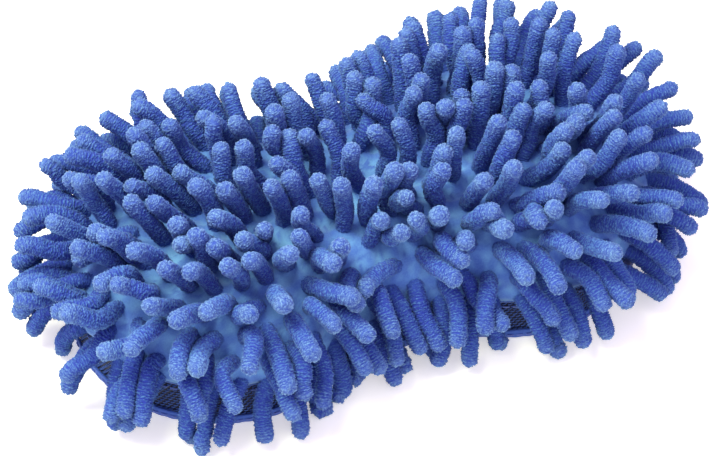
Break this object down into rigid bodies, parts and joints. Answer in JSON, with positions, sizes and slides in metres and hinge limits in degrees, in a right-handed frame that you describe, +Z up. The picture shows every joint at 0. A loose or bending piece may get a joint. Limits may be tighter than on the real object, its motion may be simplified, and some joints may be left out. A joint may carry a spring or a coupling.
{
  "type": "wash mitt",
  "caption": "Peanut-shaped wash mitt: a foam pad under a cloth of chenille noodles, over a mesh-backed hand pocket with an elastic mouth.",
  "frame": {"origin": "middle of the mitt's footprint, on the face of the mesh back that it rests on", "axes": "+X along the mitt towards the pocket's mouth, +Y across it, +Z up out of the noodle side"},
  "size_m": [0.2956, 0.1734, 0.0817],
  "materials": {
    "chenille": "blue microfibre chenille, short dense pile",
    "fleece": "light blue brushed knit",
    "lining": "smooth blue tricot",
    "mesh": "coarse dark blue open mesh knit",
    "backing": "near-black knit behind the mesh",
    "tape": "blue woven binding tape",
    "elastic": "ribbed navy elastic webbing",
    "thread": "blue polyester thread",
    "foam": "open-cell sponge foam"
  },
  "bodies": {
    "root": {"back_lining": "backing", "edge_tape": "tape", "foam_core": "foam", "gusset_lining": "backing", "gusset_thread": "thread", "mesh_back": "mesh", "mesh_gusset": "mesh", "mouth_bartacks": "thread", "mouth_binding": "tape", "mouth_elastic": "elastic", "noodle_cloth": "fleece", "noodles_crown_row_1": "chenille", "noodles_crown_row_2": "chenille", "noodles_crown_row_3": "chenille", "noodles_crown_row_4": "chenille", "noodles_crown_row_5": "chenille", "noodles_flank": "chenille", "noodles_hem": "chenille", "noodles_rim": "chenille", "noodles_shoulder": "chenille", "noodles_side": "chenille", "palm_lining": "lining", "tape_thread": "thread"}
  },
  "joints": []
}
